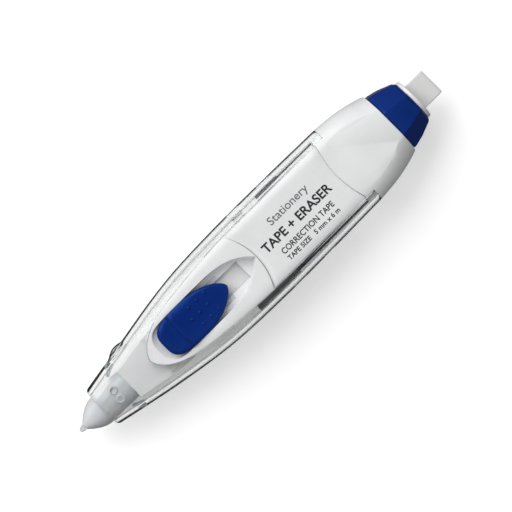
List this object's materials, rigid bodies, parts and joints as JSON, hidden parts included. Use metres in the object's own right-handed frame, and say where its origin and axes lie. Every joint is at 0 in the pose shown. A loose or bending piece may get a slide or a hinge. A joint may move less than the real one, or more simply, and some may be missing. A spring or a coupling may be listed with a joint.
{
  "type": "correction tape roller",
  "caption": "Pen-shaped correction tape with a sliding tape tip, geared tape reels in a clear case and a twist-out eraser at the other end.",
  "frame": {"origin": "on the flat back that the pen lies on, under the middle of its length", "axes": "+X along the pen from the tape tip to the eraser, +Z out of the face with the thumb slider"},
  "size_m": [0.134, 0.0268, 0.0203],
  "materials": {
    "clear_plastic": "clear polished moulding",
    "white_plastic": "fine satin white moulding",
    "blue_plastic": "deep blue gloss moulding",
    "frosted_plastic": "frosted translucent moulding",
    "grey_plastic": "pale grey matt moulding",
    "gear_plastic": "natural low friction moulding",
    "dark_plastic": "dark navy moulding",
    "spring_steel": "dark spring strip",
    "rubber_ring": "matt black friction ring",
    "eraser_white": "soft white vinyl",
    "tape_white": "white correction film",
    "tape_backing": "thin glassine backing"
  },
  "bodies": {
    "case": {"lower_case": "clear_plastic", "upper_case": "clear_plastic", "slider_surround": "white_plastic", "label_panel": "white_plastic", "rear_housing": "white_plastic", "eraser_guide": "white_plastic", "click_spring": "spring_steel", "left_rail": "dark_plastic", "right_rail": "dark_plastic"},
    "cartridge": {"cartridge_tray": "white_plastic", "cartridge_cover": "white_plastic", "nose": "frosted_plastic", "applicator_tip": "frosted_plastic", "thumb_slider": "blue_plastic", "slider_shoe": "grey_plastic", "feed_tape": "tape_white", "return_tape": "tape_backing"},
    "supply_reel": {"supply_gear": "gear_plastic", "clutch_ring": "rubber_ring", "supply_spool": "gear_plastic", "supply_roll": "tape_white"},
    "idler": {"idler_gear": "gear_plastic"},
    "take_up_reel": {"take_up_spool": "gear_plastic", "take_up_roll": "tape_backing"},
    "knob": {"twist_knob": "blue_plastic", "twist_barrel": "white_plastic"},
    "eraser": {"eraser_holder": "gear_plastic", "eraser_stick": "eraser_white"}
  },
  "joints": [
    {"name": "tip_slide", "type": "slide", "parent": "case", "child": "cartridge", "axis": [1, 0, 0], "range_m": [0, 0.0063]},
    {"name": "supply_spin", "type": "hinge", "parent": "cartridge", "child": "supply_reel", "pos_m": [0.013, 0, 0.01], "axis": [0, 0, 1], "continuous": true},
    {"name": "idler_spin", "type": "hinge", "parent": "cartridge", "child": "idler", "pos_m": [-0.0015, 0, 0.01], "axis": [0, 0, 1], "continuous": true},
    {"name": "take_up_spin", "type": "hinge", "parent": "cartridge", "child": "take_up_reel", "pos_m": [-0.011, 0, 0.01], "axis": [0, 0, 1], "continuous": true},
    {"name": "knob_twist", "type": "hinge", "parent": "case", "child": "knob", "pos_m": [0.05, 0, 0.01], "axis": [1, 0, 0], "range_deg": [-250, 290]},
    {"name": "eraser_slide", "type": "slide", "parent": "case", "child": "eraser", "axis": [1, 0, 0], "range_m": [-0.0065, 0.0056]}
  ],
  "couplings": [
    {"joint": "idler_spin", "follows": "supply_spin", "ratio": -1.6364},
    {"joint": "take_up_spin", "follows": "supply_spin", "ratio": 2.25},
    {"joint": "eraser_slide", "follows": "knob_twist", "m_per_rad": -0.0012732}
  ]
}
